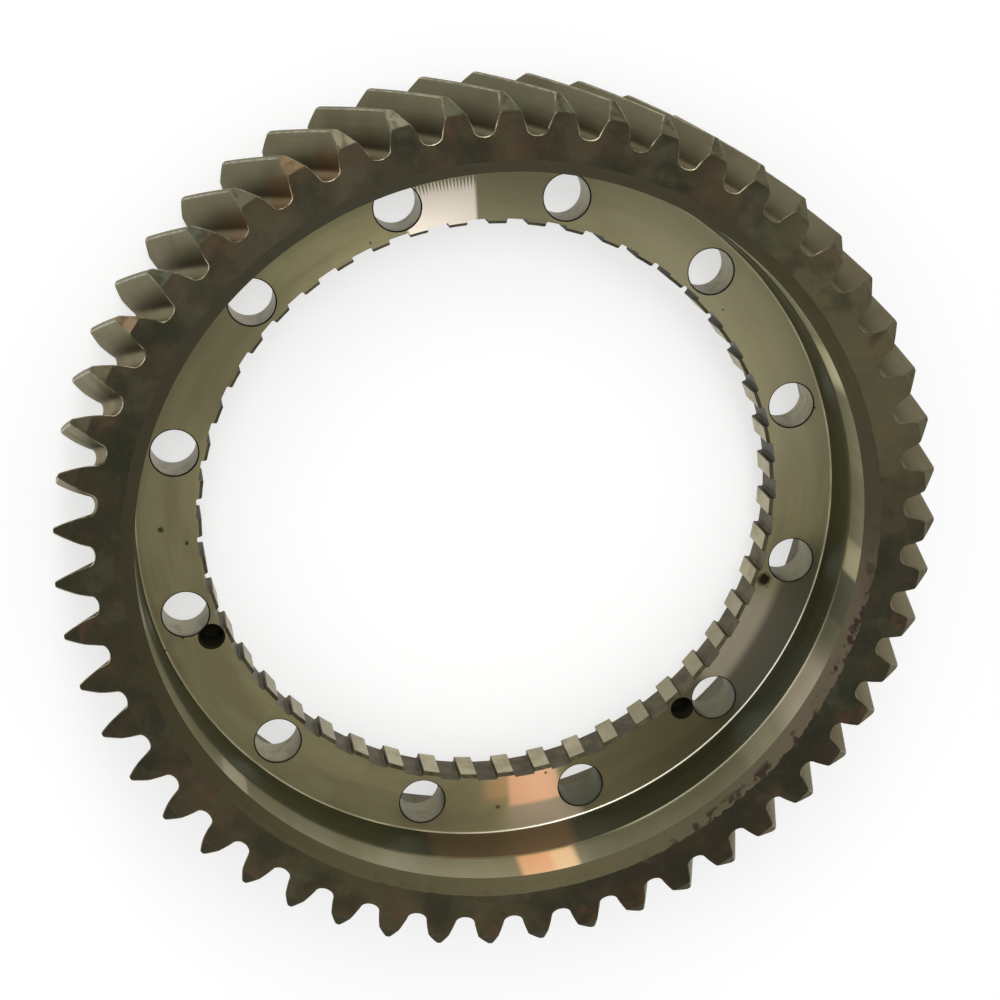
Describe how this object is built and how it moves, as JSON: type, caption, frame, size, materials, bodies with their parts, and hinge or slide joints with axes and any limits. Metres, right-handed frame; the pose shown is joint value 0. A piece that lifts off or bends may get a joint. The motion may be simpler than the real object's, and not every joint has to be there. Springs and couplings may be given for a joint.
{
  "type": "bull gear",
  "caption": "Large helical ring gear of a truck axle, with a recessed inner web, a circle of bolt holes and a splined bore.",
  "frame": {"origin": "on the gear's axis, at the plane of the back ring that the gear lies on", "axes": "+Z along the gear's axis towards the front face with the deep recess; +X through the middle of one bolt hole"},
  "size_m": [0.318, 0.318, 0.0761],
  "materials": {
    "gear_steel": "forged skin gone olive-brown on the front face, ground tooth flanks, turned web and bore, a thin film of oil and light rust tints"
  },
  "bodies": {
    "root": {"bull_gear": "gear_steel"}
  },
  "joints": []
}
